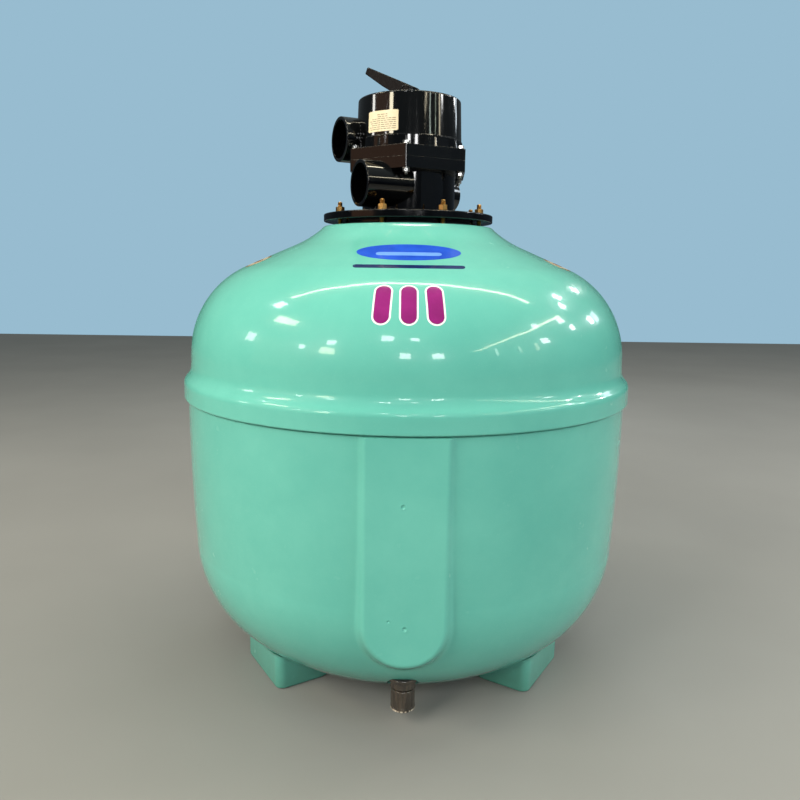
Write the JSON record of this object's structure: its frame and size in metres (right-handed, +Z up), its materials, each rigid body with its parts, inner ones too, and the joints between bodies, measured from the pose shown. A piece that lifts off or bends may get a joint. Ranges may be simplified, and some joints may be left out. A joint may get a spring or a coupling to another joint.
{
  "type": "sand filter tank",
  "caption": "Round two-part fibreglass sand filter tank on four feet, with a top-mounted six-way lever valve, bolted neck plate, inner pipework and a front drain.",
  "frame": {"origin": "on the floor, under the tank's axis", "axes": "+Z up along the tank's axis, -Y towards the front (the raised panel and the drain), +X to the right seen from the front"},
  "size_m": [0.773, 0.7728, 1.0163],
  "materials": {
    "gelcoat": "glossy gel-coat",
    "valve_plastic": "moulded, glossy",
    "plated_steel": "yellow zinc plating",
    "stainless_steel": "bright",
    "rubber": "matt",
    "white_plastic": "matt",
    "drain_plastic": "satin",
    "label_film": "satin film",
    "adhesive": "cured resin",
    "spring_steel": "drawn wire",
    "bearing_plastic": "matt"
  },
  "bodies": {
    "root": {"lower_shell": "gelcoat", "upper_shell": "gelcoat", "front_left_foot": "gelcoat", "front_right_foot": "gelcoat", "back_left_foot": "gelcoat", "back_right_foot": "gelcoat", "shell_bond": "adhesive", "neck_backing_ring": "stainless_steel", "neck_gasket": "rubber", "neck_studs": "plated_steel", "neck_washers": "plated_steel", "neck_nuts": "plated_steel", "valve_plate": "valve_plastic", "valve_body": "valve_plastic", "valve_cover": "valve_plastic", "body_o_ring": "rubber", "flange_bolts": "stainless_steel", "flange_top_washers": "stainless_steel", "flange_low_washers": "stainless_steel", "flange_nuts": "stainless_steel", "spider_gasket": "rubber", "wear_plate": "bearing_plastic", "valve_spring": "spring_steel", "data_label": "label_film", "standpipe": "white_plastic", "standpipe_seal": "rubber", "top_diffuser": "white_plastic", "lateral_hub": "white_plastic", "drain_collar": "drain_plastic", "drain_gasket": "rubber", "drain_nipple": "drain_plastic", "drain_lock_nut": "drain_plastic", "drain_strainer": "white_plastic", "lateral_1": "white_plastic", "lateral_2": "white_plastic", "lateral_3": "white_plastic", "lateral_4": "white_plastic", "lateral_5": "white_plastic", "lateral_6": "white_plastic", "lateral_7": "white_plastic", "lateral_8": "white_plastic"},
    "rotor_assembly": {"rotor": "valve_plastic", "rotor_shaft": "valve_plastic", "shaft_o_ring_low": "rubber", "shaft_o_ring_high": "rubber", "handle_pin": "stainless_steel"},
    "lift_carrier": {"thrust_washer": "stainless_steel"},
    "handle": {"valve_handle": "valve_plastic"},
    "cap_carrier": {"drain_cap_seal": "rubber"},
    "drain_cap_body": {"drain_cap": "drain_plastic"}
  },
  "joints": [
    {"name": "rotor_lift", "type": "slide", "parent": "root", "child": "lift_carrier", "axis": [0, 0, 1], "range_m": [0, 0.005], "stiffness_N_per_m": 2000, "springref_m": -0.01, "deforming": ["valve_spring"]},
    {"name": "rotor_turn", "type": "hinge", "parent": "lift_carrier", "child": "rotor_assembly", "pos_m": [0, 0, 0.847], "axis": [0, 0, 1], "continuous": true},
    {"name": "handle_press", "type": "hinge", "parent": "rotor_assembly", "child": "handle", "pos_m": [0, 0, 0.968], "axis": [-0.5446, -0.8387, 0], "range_deg": [0, 23]},
    {"name": "cap_travel", "type": "slide", "parent": "root", "child": "cap_carrier", "axis": [0, 0, -1], "range_m": [0, 0.016]},
    {"name": "cap_turn", "type": "hinge", "parent": "cap_carrier", "child": "drain_cap_body", "pos_m": [0, -0.303, 0.0236], "axis": [0, 0, -1], "range_deg": [0, 1440]}
  ],
  "couplings": [
    {"joint": "handle_press", "follows": "rotor_lift", "rad_per_m": 80.285},
    {"joint": "cap_turn", "follows": "cap_travel", "rad_per_m": 1570.8}
  ]
}
